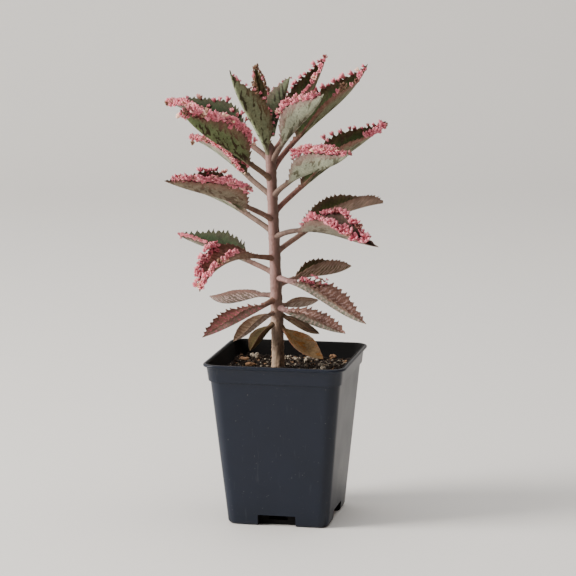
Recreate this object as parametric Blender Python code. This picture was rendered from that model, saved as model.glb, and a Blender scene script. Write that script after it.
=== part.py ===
# Mother of thousands in a square nursery pot: pot, soil, stem, leaves and loose grains.
# The pot stands on z = 0, its base centred on the origin, with its front wall facing -Y.
# Every size below is in millimetres; MM turns it into Blender's metres.
import math

import bmesh
import bpy
from mathutils import Matrix, Vector

MM = 0.001
GAP = 0.3                     # clear space between neighbouring pieces

# Pot: a tapered square with round corners, a band under the rim and a small lip
POT_HEIGHT = 103.3
RIM_HALF = 44.9               # half the width over the lip
BAND_TOP_HALF, BAND_FOOT_HALF = 42.9, 41.9
BAND_FOOT = 92.6              # height at which the band ends
BAND_STEP = 1.0               # how far the wall steps in under the band
BASE_HALF = 31.9
CORNER_TOP, CORNER_BASE = 8.0, 6.0
WALL = 1.0
FLOOR = 1.6
NOTCH_WIDTH, NOTCH_HEIGHT, NOTCH_DEPTH = 24.0, 7.0, 5.0
DRAIN_WIDTH, DRAIN_LOW, DRAIN_HIGH = 12.0, 3.0, 5.6

# Soil: fills the pot to just above the band's foot, with a low mound at the stem
SOIL_TOP = 94.0
MOUND, MOUND_RADIUS = 1.6, 14.0

# Stem: stands a little left of the middle and leans further left as it rises
STEM_FOOT = Vector((-5.1, -1.1, 82.0))
STEM_TIP = 237.0
STEM_LEAN = Vector((-4.2, -0.9))      # sideways travel between the foot and the tip
STEM_RADIUS_FOOT, STEM_RADIUS_TOP = 4.0, 3.0
STEM_SIDES = 14

# Leaves, numbered in tiers from the soil up, a crossed pair to a tier. Each row holds
# the compass turn, the height on the stem, the length along the midrib, the midrib's rise
# at its base, middle and tip, the blade's half width, the upward fold of each half
# and the petiole's share of the length. Angles are in degrees.
LEAVES = {
    "leaf_14_front_right": (-33, 231, 49, (71, 69, 84), 10.5, 66, 0.24),
    "leaf_14_back_left": (147, 232, 52, (75, 76, 82), 6.5, 60, 0.30),
    "leaf_13_front_left": (-123, 226, 67, (63, 54, 78), 13.0, 62, 0.18),
    "leaf_13_back_right": (57, 228, 79, (42, 48, 68), 12.0, 52, 0.26),
    "leaf_12_front_right": (-33, 222, 66, (66, 38, 62), 14.0, 64, 0.26),
    "leaf_12_back_left": (147, 225, 99, (30, 16, 14), 16.0, 42, 0.25),
    "leaf_11_front_left": (-123, 213, 93, (38, 27, 52), 16.0, 64, 0.26),
    "leaf_11_back_right": (57, 218, 106, (50, 26, 54), 15.0, 44, 0.27),
    "leaf_10_front_right": (-33, 202, 74, (49, 17, 40), 14.0, 66, 0.26),
    "leaf_10_back_left": (147, 203, 79, (24, 25, 10), 12.0, 50, 0.32),
    "leaf_09_front_left": (-123, 188, 97, (30, 17, 23), 15.0, 60, 0.27),
    "leaf_09_back_right": (57, 192, 116, (35, 21, 32), 15.5, 44, 0.25),
    "leaf_08_front_right": (-33, 177, 87, (28, -3, -2), 14.0, 60, 0.28),
    "leaf_08_back_left": (147, 180, 96, (25, 13, 6), 11.0, 50, 0.30),
    "leaf_07_front_left": (-123, 164, 71, (12, -6, -56), 13.0, 50, 0.28),
    "leaf_07_back_right": (57, 167, 102, (25, 12, 1), 13.0, 46, 0.27),
    "leaf_06_front_right": (-33, 152, 81, (0, -20, -3), 11.5, 58, 0.20),
    "leaf_06_back_left": (147, 154, 89, (17, 7, 14), 12.5, 46, 0.28),
    "leaf_05_front_left": (-123, 139, 67, (-18, -15, -4), 9.5, 52, 0.16),
    "leaf_05_back_right": (57, 146, 69, (20, -4, 20), 11.0, 60, 0.26),
    "leaf_04_front_right": (-33, 134, 60, (-16, -11, 3), 9.5, 54, 0.16),
    "leaf_04_back_left": (147, 140, 64, (6, -19, 28), 9.5, 56, 0.20),
    "leaf_03_front_left": (-123, 131, 41, (-14, -26, -3), 8.5, 52, 0.16),
    "leaf_03_back_right": (57, 135, 38, (-12, -8, 23), 6.5, 54, 0.20),
    "leaf_02_right": (-3, 130, 31, (-23, -32, 8), 6.5, 40, 0.20),
    "leaf_01_right": (-8, 121, 38, (-46, -38, -2), 8.0, 36, 0.16),
    "leaf_01_left": (-138, 124, 26, (-20, -51, -21), 6.5, 44, 0.22),
}
OLD_TIERS = 6                 # leaves up to this tier have rounder tips and brown blades
PETIOLE_HALF = 1.65
BLADE_THICKNESS = 1.5
PETIOLE_SECTIONS, BLADE_SECTIONS = 4, 15
TOOTH = 0.07                  # height of the margin's teeth as a share of the half width

# Loose grains on the soil: x, y, width and height
GRAINS = {
    "perlite_back_left": (-26.0, 25.0, 6.0, 3.6),
    "perlite_back": (-5.0, 24.5, 4.6, 3.0),
    "perlite_back_middle": (1.6, 22.5, 3.4, 2.4),
    "perlite_right": (10.2, 16.5, 6.4, 4.2),
    "perlite_right_back": (13.6, 25.0, 5.4, 3.8),
    "perlite_right_near": (20.5, 8.0, 3.6, 2.4),
    "perlite_front_right": (24.0, -4.0, 4.2, 2.8),
    "bark_left": (-31.5, 16.0, 5.6, 2.6),
    "bark_left_near": (-23.6, 1.5, 6.2, 2.6),
    "bark_back_right": (23.0, 34.0, 5.0, 2.4),
}


def material(name, colour, roughness):
    """A Principled material of one colour."""
    made = bpy.data.materials.new(name)
    made.use_nodes = True
    shader = made.node_tree.nodes["Principled BSDF"]
    shader.inputs["Base Color"].default_value = (*colour, 1.0)
    shader.inputs["Roughness"].default_value = roughness
    return made


def add_object(name, fill, surface):
    """One named object from a bmesh that fill builds in millimetres."""
    bm = bmesh.new()
    fill(bm)
    bmesh.ops.recalc_face_normals(bm, faces=bm.faces)
    bmesh.ops.scale(bm, vec=(MM, MM, MM), verts=bm.verts)
    mesh = bpy.data.meshes.new(name)
    bm.to_mesh(mesh)
    bm.free()
    mesh.materials.append(surface)
    made = bpy.data.objects.new(name, mesh)
    bpy.context.scene.collection.objects.link(made)
    return made


def loft(bm, loops):
    """A closed skin through rings of points; a ring of one point closes to a tip."""
    rings = [[bm.verts.new(point) for point in loop] for loop in loops]
    for low, high in zip(rings, rings[1:]):
        count = max(len(low), len(high))
        for i in range(count):
            j = (i + 1) % count
            near = [low[i], low[j]] if len(low) > 1 else [low[0]]
            far = [high[j], high[i]] if len(high) > 1 else [high[0]]
            bm.faces.new(near + far)
    for ring in (rings[0], rings[-1]):
        if len(ring) > 2:
            bm.faces.new(ring)


def cut(target, cutter, operation):
    """Joins the cutter to the target or takes it away, with an exact Boolean."""
    modifier = target.modifiers.new("cut", "BOOLEAN")
    modifier.operation = operation
    modifier.solver = "EXACT"
    modifier.object = cutter
    graph = bpy.context.evaluated_depsgraph_get()
    mesh = bpy.data.meshes.new_from_object(target.evaluated_get(graph))
    target.modifiers.clear()
    target.data = mesh
    bpy.data.objects.remove(cutter)


# The pot

def round_square(half, radius, height, steps=4):
    """A ring around a square of the given half width, with an arc at each corner."""
    ring = []
    for quarter in range(4):
        turn = math.radians(90 * quarter)
        for step in range(steps + 1):
            angle = math.radians(90 * step / steps)
            x = half - radius + radius * math.cos(angle)
            y = half - radius + radius * math.sin(angle)
            ring.append((x * math.cos(turn) - y * math.sin(turn),
                         x * math.sin(turn) + y * math.cos(turn), height))
    return ring


def wall_half(height):
    """Half the pot's outer width at a height under the band."""
    return BASE_HALF + (BAND_FOOT_HALF - BAND_STEP - BASE_HALF) * height / BAND_FOOT


def corner(height):
    """The outer corner radius at a height."""
    return CORNER_BASE + (CORNER_TOP - CORNER_BASE) * height / POT_HEIGHT


def side_blocks(width, inner, low, high):
    """Four blocks in one cutter, at the middle of each side of the base, ending at inner."""
    outer = BASE_HALF + 6.0 if low < 0 else BASE_HALF - 0.2

    def fill(bm):
        for side in range(4):
            block = bmesh.ops.create_cube(bm, size=1.0)["verts"]
            bmesh.ops.scale(bm, vec=(width, outer - inner, high - low), verts=block)
            bmesh.ops.translate(bm, vec=(0, -(outer + inner) / 2, (low + high) / 2), verts=block)
            bmesh.ops.rotate(bm, cent=(0, 0, 0), verts=block,
                             matrix=Matrix.Rotation(math.radians(90 * side), 3, "Z"))
    return add_object("blocks", fill, plastic)


def make_pot():
    """A thin wall with lip and band, then four housed drainage notches along the base."""
    rings = [
        round_square(BASE_HALF, CORNER_BASE, 0.0),
        round_square(wall_half(BAND_FOOT - 0.5), corner(BAND_FOOT), BAND_FOOT - 0.5),
        round_square(BAND_FOOT_HALF, corner(BAND_FOOT), BAND_FOOT),
        round_square(BAND_TOP_HALF, CORNER_TOP, POT_HEIGHT - 2.4),
        round_square(RIM_HALF, CORNER_TOP + 1.5, POT_HEIGHT - 1.8),
        round_square(RIM_HALF, CORNER_TOP + 1.5, POT_HEIGHT - 0.5),
        round_square(RIM_HALF - 0.6, CORNER_TOP + 1.0, POT_HEIGHT),
        round_square(BAND_TOP_HALF - 0.5, CORNER_TOP, POT_HEIGHT),
        round_square(BAND_TOP_HALF - WALL, CORNER_TOP - WALL, POT_HEIGHT - 1.6),
        round_square(BAND_FOOT_HALF - WALL, corner(BAND_FOOT) - WALL, BAND_FOOT + 0.5),
        round_square(wall_half(BAND_FOOT - 1) - WALL, corner(BAND_FOOT) - WALL, BAND_FOOT - 1),
        round_square(wall_half(FLOOR) - WALL, CORNER_BASE - WALL, FLOOR),
    ]
    pot = add_object("pot", lambda bm: loft(bm, rings), plastic)
    recess = BASE_HALF - NOTCH_DEPTH
    cut(pot, side_blocks(NOTCH_WIDTH + 2 * WALL, recess - WALL, 0.8, NOTCH_HEIGHT + WALL),
        "UNION")
    cut(pot, side_blocks(NOTCH_WIDTH, recess, -1.0, NOTCH_HEIGHT), "DIFFERENCE")
    cut(pot, side_blocks(DRAIN_WIDTH, recess - 2 * WALL, DRAIN_LOW, DRAIN_HIGH), "DIFFERENCE")


def make_soil():
    """The soil fills the pot, clear of the notch housings, with a hole around the stem."""
    def inside(height):
        ring = round_square(wall_half(height) - WALL - GAP,
                            corner(height) - WALL - GAP, height)
        return ring

    def circle(radius, height):
        count = len(inside(0.0))
        turns = [math.radians(360 * (k + 0.5) / count) for k in range(count)]
        return [(STEM_FOOT.x + radius * math.cos(t), STEM_FOOT.y + radius * math.sin(t), height)
                for t in turns]

    hole = STEM_RADIUS_FOOT * 1.1 + GAP
    rings = [inside(FLOOR + GAP), inside(BAND_FOOT - 1.0), inside(SOIL_TOP),
             circle(MOUND_RADIUS, SOIL_TOP), circle(hole, SOIL_TOP + MOUND),
             circle(hole, STEM_FOOT.z - GAP)]
    made = add_object("soil", lambda bm: loft(bm, rings), earth)
    cut(made, side_blocks(NOTCH_WIDTH + 2 * WALL + 2 * GAP,
                          BASE_HALF - NOTCH_DEPTH - WALL - GAP, -0.5,
                          NOTCH_HEIGHT + WALL + GAP), "DIFFERENCE")


def make_grain(name, x, y, width, height):
    """A lumpy grain lying on the soil."""
    seed = x * 1.7 + y * 0.9
    rest = SOIL_TOP + GAP

    def fill(bm):
        bmesh.ops.create_icosphere(bm, subdivisions=2, radius=1.0)
        for vert in bm.verts:
            p = vert.co.copy()
            lump = 1.0 + 0.16 * math.sin(3.1 * p.x + seed) * math.cos(2.7 * p.y - seed)
            lump += 0.10 * math.sin(5.0 * p.z + 2.0 * p.x + seed)
            vert.co = Vector((p.x * lump * width / 2, p.y * lump * width * 0.4,
                              p.z * lump * height / 2))
        lowest = min(vert.co.z for vert in bm.verts)
        bmesh.ops.translate(bm, vec=(x, y, rest - lowest), verts=bm.verts)
    add_object(name, fill, chalk if name.startswith("perlite") else bark)


# The plant

def stem_centre(height):
    """The middle of the stem at a height, along its slight lean."""
    share = max(0.0, (height - 100.0) / (STEM_TIP - 100.0))
    return Vector((STEM_FOOT.x + STEM_LEAN.x * share ** 1.3,
                   STEM_FOOT.y + STEM_LEAN.y * share ** 1.3, height))


def stem_radius(height):
    """The stem's radius: it tapers upwards and flares a little at the soil."""
    share = (height - STEM_FOOT.z) / (STEM_TIP - STEM_FOOT.z)
    flare = 0.3 * math.exp(-((height - SOIL_TOP) / 6.0) ** 2)
    return STEM_RADIUS_FOOT + (STEM_RADIUS_TOP - STEM_RADIUS_FOOT) * share + flare


def make_stem():
    """The stem swells slightly where leaves join it and ends in a blunt tip."""
    joints = sorted({row[1] for row in LEAVES.values()})
    heights = [STEM_FOOT.z + i * (STEM_TIP - 3.0 - STEM_FOOT.z) / 30 for i in range(31)]
    rings = []
    for height in heights:
        near = min(abs(height - joint) for joint in joints)
        radius = stem_radius(height) * (0.97 + 0.03 * math.exp(-(near / 2.5) ** 2))
        middle = stem_centre(height)
        rings.append([(middle.x + radius * math.cos(2 * math.pi * k / STEM_SIDES),
                       middle.y + radius * math.sin(2 * math.pi * k / STEM_SIDES), height)
                      for k in range(STEM_SIDES)])
    top = stem_centre(STEM_TIP - 1.0)
    rings.append([(top.x + 1.6 * math.cos(2 * math.pi * k / STEM_SIDES),
                   top.y + 1.6 * math.sin(2 * math.pi * k / STEM_SIDES), STEM_TIP - 1.0)
                  for k in range(STEM_SIDES)])
    rings.append([tuple(stem_centre(STEM_TIP))])
    add_object("stem", lambda bm: loft(bm, rings), rind)


def midrib(rise, length, share):
    """Reach and climb along a midrib whose slope runs smoothly through three angles."""
    base, middle, tip = rise
    steps = 40
    reach = climb = 0.0
    for i in range(steps):
        s = share * (i + 0.5) / steps
        slope = math.radians(base * (1 - s) * (1 - 2 * s) + 4 * middle * s * (1 - s)
                             + tip * s * (2 * s - 1))
        reach += math.cos(slope) * length * share / steps
        climb += math.sin(slope) * length * share / steps
    slope = math.radians(base * (1 - share) * (1 - 2 * share)
                         + 4 * middle * share * (1 - share) + tip * share * (2 * share - 1))
    return reach, climb, slope


def blade_width(u, old):
    """The blade's outline from its base at 0 to its tip at 1, as a share of the half width."""
    widest = 0.48 if old else 0.34
    power = math.log(0.5) / math.log(widest)
    return max(0.0, math.sin(math.pi * u ** power)) ** (0.75 if old else 0.95)


def section(half, fold, centre, thickness):
    """Eight points around a folded blade or a petiole: across and up from the midrib."""
    cos, sin = math.cos(fold), math.sin(fold)
    low_cos, low_sin = math.cos(fold * 0.82), math.sin(fold * 0.82)
    rim = (half * cos, half * sin)
    mid = (0.58 * half * low_cos, 0.58 * half * low_sin)
    off = (-0.5 * thickness * low_sin, 0.5 * thickness * low_cos)
    right_top = (mid[0] + off[0], mid[1] + off[1])
    right_low = (mid[0] - off[0], mid[1] - off[1])
    return [rim, right_top, (0.0, 0.5 * centre), (-right_top[0], right_top[1]),
            (-rim[0], rim[1]), (-right_low[0], right_low[1]), (0.0, -0.5 * centre), right_low]


def make_leaf(name, turn, height, length, rise, half_width, fold, petiole):
    """A petiole that starts beside the stem and a toothed blade folded like a boat."""
    old = int(name.split("_")[1]) <= OLD_TIERS
    out = Vector((math.cos(math.radians(turn)), math.sin(math.radians(turn)), 0.0))
    across = Vector((-out.y, out.x, 0.0))
    root = stem_centre(height)
    clear = stem_radius(height) + 1.6 * GAP
    folded = math.radians(fold)
    slim = 0.8 if half_width < 8 else 1.0

    first = []
    stretch = min(1.3, 1.0 / max(0.3, math.cos(math.radians(rise[0]))))
    start_climb = clear * math.tan(math.radians(max(-45, min(60, rise[0]))))
    for x, z in section(PETIOLE_HALF * slim, 0.0, 2.1 * PETIOLE_HALF * slim,
                        1.7 * PETIOLE_HALF * slim):
        level = height + start_climb + z * stretch
        first.append(stem_centre(level) + out * math.sqrt(clear ** 2 - x ** 2) + across * x)
    rings = [first]

    start = 0.02
    while midrib(rise, length, start)[0] < clear + 1.5 * PETIOLE_HALF:
        start += 1.0 / 60
    petiole = max(petiole, start + 0.08)
    shares = [start + (petiole - start) * i / PETIOLE_SECTIONS for i in range(PETIOLE_SECTIONS)]
    shares += [petiole + (1 - petiole) * i / BLADE_SECTIONS for i in range(BLADE_SECTIONS)]
    for i, share in enumerate(shares):
        reach, climb, slope = midrib(rise, length, share)
        up = Vector((0, 0, 1)) * math.cos(slope) - out * math.sin(slope)
        u = max(0.0, (share - petiole) / (1 - petiole))
        grown = min(1.0, u * 6)
        tooth = 1.0 + TOOTH * (1 if i % 2 else -1) * grown
        half = max(PETIOLE_HALF * slim * (1 - 0.4 * u), half_width * blade_width(u, old) * tooth)
        centre = 2 * PETIOLE_HALF * slim * (1 - grown) + BLADE_THICKNESS * (1.2 - 0.6 * u) * grown
        thick = 1.7 * PETIOLE_HALF * slim * (1 - grown) + BLADE_THICKNESS * 0.75 * grown
        middle = root + out * reach + Vector((0, 0, climb))
        rings.append([middle + across * x + up * z
                      for x, z in section(half, folded * grown, centre, thick)])
    reach, climb, _ = midrib(rise, length, 1.0)
    rings.append([root + out * reach + Vector((0, 0, climb))])
    add_object(name, lambda bm: loft(bm, rings), brown_leaf if old else green_leaf)


for old_object in list(bpy.data.objects):
    bpy.data.objects.remove(old_object)

plastic = material("pot_plastic", (0.040, 0.045, 0.052), 0.42)
earth = material("soil", (0.020, 0.016, 0.012), 0.9)
chalk = material("perlite", (0.55, 0.53, 0.48), 0.9)
bark = material("bark", (0.30, 0.17, 0.08), 0.85)
rind = material("stem", (0.30, 0.17, 0.15), 0.6)
green_leaf = material("leaf_green", (0.10, 0.13, 0.06), 0.5)
brown_leaf = material("leaf_brown", (0.17, 0.10, 0.08), 0.5)

make_pot()
make_soil()
for grain, values in GRAINS.items():
    make_grain(grain, *values)
make_stem()
for leaf, values in LEAVES.items():
    make_leaf(leaf, *values)
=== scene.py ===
# %% [markdown]
# # A mother of thousands in its nursery pot
# The plant is a kalanchoe that carries hundreds of tiny plants on the edges of its leaves.
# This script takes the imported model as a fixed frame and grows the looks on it, piece by
# piece: a moulded pot, crumbly soil, a stem, folded leaves, and the pink plantlets.

# %% Load the frame
import math
from functools import partial

import bmesh
import bpy
import numpy as np
from mathutils import Matrix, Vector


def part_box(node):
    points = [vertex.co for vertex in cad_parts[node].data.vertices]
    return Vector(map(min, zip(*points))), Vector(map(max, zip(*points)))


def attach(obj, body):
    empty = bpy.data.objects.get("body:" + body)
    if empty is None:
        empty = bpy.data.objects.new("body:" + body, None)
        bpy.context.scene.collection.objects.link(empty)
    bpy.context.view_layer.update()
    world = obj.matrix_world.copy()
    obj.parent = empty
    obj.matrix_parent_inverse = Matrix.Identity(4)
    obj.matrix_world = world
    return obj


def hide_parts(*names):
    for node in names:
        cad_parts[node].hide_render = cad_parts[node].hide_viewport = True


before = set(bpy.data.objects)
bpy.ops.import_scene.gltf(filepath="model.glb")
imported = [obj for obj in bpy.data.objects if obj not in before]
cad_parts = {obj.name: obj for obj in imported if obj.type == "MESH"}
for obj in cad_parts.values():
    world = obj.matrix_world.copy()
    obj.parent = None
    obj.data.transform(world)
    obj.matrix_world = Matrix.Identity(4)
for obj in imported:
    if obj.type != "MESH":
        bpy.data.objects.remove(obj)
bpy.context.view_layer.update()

# %% [markdown]
# ## Units
# All sizes here are in millimetres, as on a workbench. One factor turns them into the
# metres that Blender and the frame use, at the moment a mesh is made.

# %% Sizes shared with the frame
MM = 0.001
POT_HEIGHT = 103.3
RIM_HALF, BAND_TOP_HALF, BAND_FOOT_HALF, BASE_HALF = 44.9, 42.9, 41.9, 31.9
BAND_FOOT, BAND_STEP, WALL, FLOOR = 92.6, 1.0, 1.0, 1.6
CORNER_TOP, CORNER_BASE = 8.0, 6.0
NOTCH_WIDTH, NOTCH_HEIGHT, NOTCH_DEPTH = 24.0, 7.0, 5.0
DRAIN_WIDTH, DRAIN_LOW, DRAIN_HIGH = 12.0, 3.0, 5.6
SOIL_TOP, MOUND = 94.0, 1.6
STEM_FOOT = np.array([-5.1, -1.1, 82.0])
STEM_TIP = 237.0
STEM_LEAN = np.array([-4.2, -0.9])
STEM_RADIUS_FOOT, STEM_RADIUS_TOP = 4.0, 3.0

# %% [markdown]
# ## The leaves as a table of habits
# Each leaf follows the frame's leaf of the same name. A row gives the compass turn, the
# height on the stem, the length, the rise of the midrib at its base, middle and tip, the
# half width, the fold of each half, the petiole's share, the widest place and the roll
# that turns its open side to the front. After those come the skin, how thickly plantlets
# crowd the margin that faces the front and the one behind, how far they spill onto the
# upper face, and their size in millimetres.

# %% The leaves
BARE = (0.0, 0.0, 0.0, 1.0)
LEAVES = {
    "leaf_14_front_right": (
        -33, 231, 50, (84, 66, 80), 11.0, 66, 0.18, 0.50, 0, "young grey", 1.1, 0.4, 0.0, 1.2),
    "leaf_14_back_left": (
        147, 232, 54, (84, 72, 82), 5.4, 44, 0.30, 0.42, 30, "young dark", 1.3, 1.3, 0.0, 2.2),
    "leaf_13_front_left": (
        -123, 226, 67, (63, 54, 78), 13.6, 62, 0.11, 0.41, 0, "young green", 0.6, 0.5, 0.0, 1.6),
    "leaf_13_back_right": (
        57, 228, 79, (42, 48, 68), 12.0, 54, 0.22, 0.42, -8, "flushed", 0.8, 0.7, 0.0, 2.4),
    "leaf_12_front_right": (
        -33, 222, 66, (66, 38, 62), 14.0, 64, 0.26, 0.45, 0, "pale grey", 2.8, 1.0, 0.2, 2.8),
    "leaf_12_back_left": (
        147, 225, 99, (30, 16, 14), 16.0, 46, 0.25, 0.40, 13, "shady green", 3.4, 0.5, 1.0, 3.0),
    "leaf_11_front_left": (
        -123, 213, 93, (38, 27, 52), 16.0, 64, 0.26, 0.38, 12, "deep green", 3.4, 3.0, 1.0, 3.1),
    "leaf_11_back_right": (
        57, 218, 109, (50, 26, 54), 15.0, 46, 0.27, 0.42, -9, "flushed", 0.42, 0.45, 0.0, 3.3),
    "leaf_10_front_right": (
        -33, 202, 74, (49, 17, 40), 14.0, 66, 0.26, 0.43, 6, "pale grey", 3.2, 1.6, 0.5, 3.1),
    "leaf_10_back_left": (
        147, 203, 79, (24, 25, 10), 10.5, 50, 0.32, 0.40, 8, "pale grey", 2.8, 1.0, 0.8, 2.7),
    "leaf_09_front_left": (
        -123, 188, 97, (30, 17, 23), 15.0, 60, 0.27, 0.38, 26, "grey green", 2.8, 1.6, 1.0, 3.2),
    "leaf_09_back_right": (
        57, 192, 116, (35, 21, 32), 15.5, 46, 0.25, 0.42, -6, "flushed", 1.1, 0.42, 0.0, 3.1),
    "leaf_08_front_right": (
        -33, 177, 89, (28, -3, -2), 14.0, 60, 0.28, 0.44, 14, "grey pink", 0.8, 0.6, 0.2, 4.7),
    "leaf_08_back_left": (
        147, 180, 96, (25, 13, 6), 11.0, 50, 0.30, 0.36, 10, "pale grey", 1.0, 0.8, 0.2, 1.8),
    "leaf_07_front_left": (
        -123, 164, 71, (12, -6, -56), 12.0, 50, 0.24, 0.52, 14, "bronze", 1.9, 1.9, 0.6, 3.2),
    "leaf_07_back_right": (
        57, 167, 102, (25, 12, 0), 14.5, 46, 0.27, 0.46, -3, "ribbed", *BARE),
    "leaf_06_front_right": (
        -33, 152, 81, (0, -20, -3), 11.5, 58, 0.20, 0.48, 8, "striped", 0.0, 2.4, 1.0, 2.0),
    "leaf_06_back_left": (
        147, 154, 89, (17, 7, 14), 12.5, 46, 0.28, 0.42, 16, "shady green", 2.4, 0.0, 0.5, 1.9),
    "leaf_05_front_left": (
        -123, 139, 67, (-18, -15, -4), 9.5, 52, 0.16, 0.48, 0, "rosy", *BARE),
    "leaf_05_back_right": (
        57, 146, 69, (20, -4, 20), 11.0, 66, 0.26, 0.48, 0, "ribbed", *BARE),
    "leaf_04_front_right": (
        -33, 134, 60, (-16, -11, 3), 9.5, 54, 0.16, 0.48, 8, "striped", *BARE),
    "leaf_04_back_left": (
        147, 140, 64, (6, -19, 28), 9.5, 56, 0.20, 0.52, 0, "pale stripes", *BARE),
    "leaf_03_front_left": (
        -123, 131, 41, (-14, -26, -3), 7.4, 52, 0.16, 0.48, 0, "old brown", *BARE),
    "leaf_03_back_right": (
        57, 135, 38, (-12, -8, 23), 6.5, 54, 0.20, 0.48, 0, "old brown", *BARE),
    "leaf_02_right": (
        -3, 130, 31, (-23, -32, 8), 6.5, 40, 0.20, 0.48, 0, "speckled", *BARE),
    "leaf_01_right": (
        -8, 124, 39, (-49, -40, -4), 9.6, 32, 0.16, 0.52, 22, "orange", *BARE),
    "leaf_01_left": (
        -138, 124, 26, (-20, -51, -21), 8.2, 44, 0.22, 0.52, 0, "old olive", *BARE),
}
# Where plantlets start and end along the near and the far margin, if not on nearly all of it
SPANS = {
    "leaf_07_front_left": ((0.44, 0.97), (0.46, 0.97)),
    "leaf_09_front_left": ((0.12, 0.92), (0.08, 0.92)),
    "leaf_10_back_left": ((0.02, 0.99), (0.04, 0.99)),
    "leaf_12_front_right": ((0.24, 0.97), (0.10, 0.97)),
    "leaf_06_front_right": ((0.05, 0.30), (0.05, 0.36)),
    "leaf_09_back_right": ((0.62, 0.99), (0.14, 0.99)),
    "leaf_13_back_right": ((0.30, 0.99), (0.10, 0.99)),
    "leaf_11_back_right": ((0.40, 0.99), (0.18, 0.99)),
    "leaf_10_front_right": ((0.22, 0.99), (0.06, 0.99)),
    "leaf_08_front_right": ((0.06, 0.91), (0.06, 0.92)),
}
# Tiers up to this one are old leaves, which are coarser in their teeth and browner
OLD_TIERS = 6
# How much deeper or paler the plantlets are on some skins; how far some leaves twist towards
# the tip, in degrees; and how deep the teeth of old leaves are, as a share of the half width
TONE, TONES = -0.03, {"young dark": -0.6, "striped": -0.2, "grey pink": -0.12}
TWISTS = {"leaf_08_front_right": 30, "leaf_09_back_right": 34, "leaf_11_back_right": 24,
          "leaf_13_back_right": 20}
TEETH = {"ribbed": 0.12, "pale stripes": 0.03, "old brown": 0.03, "speckled": 0.03,
         "orange": 0.03, "old olive": 0.03}
OLD_TOOTH, YOUNG_TOOTH = 0.22, 0.13
OLD_PERIOD, YOUNG_PERIOD = 4.3, 3.7
print(len(LEAVES), "leaves")

# %% [markdown]
# ## Colour and nodes
# Colours are written as the sRGB codes that a colour picker shows, and one function turns
# them into the linear light that the shaders add up. One more function adds any node,
# sets it and links it, so that each material below reads as a list of steps. In a Mix
# node, socket 0 is the share and sockets 6 and 7 are its two colours.

# %% Helpers for materials


def linear(code):
    """An sRGB hex code as linear red, green, blue and full alpha."""
    values = [int(code[i:i + 2], 16) / 255 for i in (1, 3, 5)]
    return tuple(v / 12.92 if v <= 0.04045 else ((v + 0.055) / 1.055) ** 2.4
                 for v in values) + (1.0,)


def live(source):
    """A socket as it is, or the first output that a node offers in its present mode."""
    return next(s for s in source.outputs if s.enabled) if hasattr(source, "outputs") else source


def add_node(tree, kind, settings=None, links=None):
    """Adds a node, a Mix one for colours; settings fill it, and links feed its inputs."""
    node = tree.nodes.new("ShaderNode" + kind)
    if kind == "Mix":
        node.data_type = "RGBA"
    for key, value in (settings or {}).items():
        if isinstance(key, str) and hasattr(node, key):
            setattr(node, key, value)
        else:
            node.inputs[key].default_value = value
    for key, source in (links or {}).items():
        tree.links.new(live(source), node.inputs[key])
    return node


def start_material(name):
    """A new node material, add_node bound to its tree, and its Principled shader."""
    print("mixing", name)
    made = bpy.data.materials.new(name)
    made.use_nodes = True
    return made, partial(add_node, made.node_tree), made.node_tree.nodes["Principled BSDF"]


def finish_material(add, shader, colour, rough, shine, relief=None, strength=0.0, depth=0.0):
    """Feeds the colour, and a bump of some depth in metres; sets roughness and specular level."""
    link = shader.id_data.links.new
    link(live(colour), shader.inputs["Base Color"])
    shader.inputs["Specular IOR Level"].default_value = shine
    if isinstance(rough, float):
        shader.inputs["Roughness"].default_value = rough
    else:
        link(live(rough), shader.inputs["Roughness"])
    if relief:
        bump = add("Bump", {"Strength": strength, "Distance": depth}, {"Height": relief})
        link(live(bump), shader.inputs["Normal"])


# %% [markdown]
# ## Meshes from arrays
# Every new piece is a surface worked out as arrays. The helpers below join rows and
# columns of points into quads, turn a skin outwards, and hand the piece to the frame.

# %% Helpers for meshes


def grid_quads(rows, columns, closed):
    """Quads between neighbouring rows; where closed, the last column joins the first."""
    r, c = np.meshgrid(np.arange(rows - 1), np.arange(columns if closed else columns - 1),
                       indexing="ij")
    a = r * columns + c
    b = r * columns + (c + 1) % columns
    return np.stack([a, b, b + columns, a + columns], -1).reshape(-1, 4)


def ripple(points, size, seed, waves=14):
    """Smooth noise near -1..1: sines of random direction and phase, about one size apart."""
    rng = np.random.default_rng(seed)
    way = rng.normal(size=(waves, 3))
    way /= np.linalg.norm(way, axis=1)[:, None]
    way *= (2 * math.pi / size) * rng.uniform(0.6, 1.6, (waves, 1))
    phase = rng.uniform(0, 2 * math.pi, waves)
    return np.sin(points @ way.T + phase).sum(-1) / math.sqrt(waves / 2) / 1.6


def place_object(name, data):
    """A new object at the origin for a mesh, a lamp or a camera."""
    made = bpy.data.objects.new(name, data)
    bpy.context.scene.collection.objects.link(made)
    return made


def make_mesh(name, points, faces, material, flat=False):
    """A mesh in metres from points in millimetres, smooth unless it is flat."""
    mesh = bpy.data.meshes.new(name)
    mesh.from_pydata((np.asarray(points) * MM).tolist(), [], faces)
    mesh.update()
    mesh.polygons.foreach_set("use_smooth", [not flat] * len(faces))
    mesh.materials.append(material)
    return mesh


def finish_piece(name, points, faces, material, nodes, fields=None, flat=False):
    """Makes a piece that rides on the root, with its fields as point attributes."""
    mesh = make_mesh(name, points, faces, material, flat)
    for field, values in (fields or {}).items():
        kind, key = ("FLOAT_VECTOR", "vector") if values.ndim == 2 else ("FLOAT", "value")
        made = mesh.attributes.new(field, kind, "POINT")
        made.data.foreach_set(key, np.ascontiguousarray(values, dtype=np.float32).ravel())
    piece = place_object(name, mesh)
    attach(piece, "root")
    if nodes:
        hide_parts(*nodes)
    print(name + ":", len(faces), "faces")
    return piece


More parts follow.
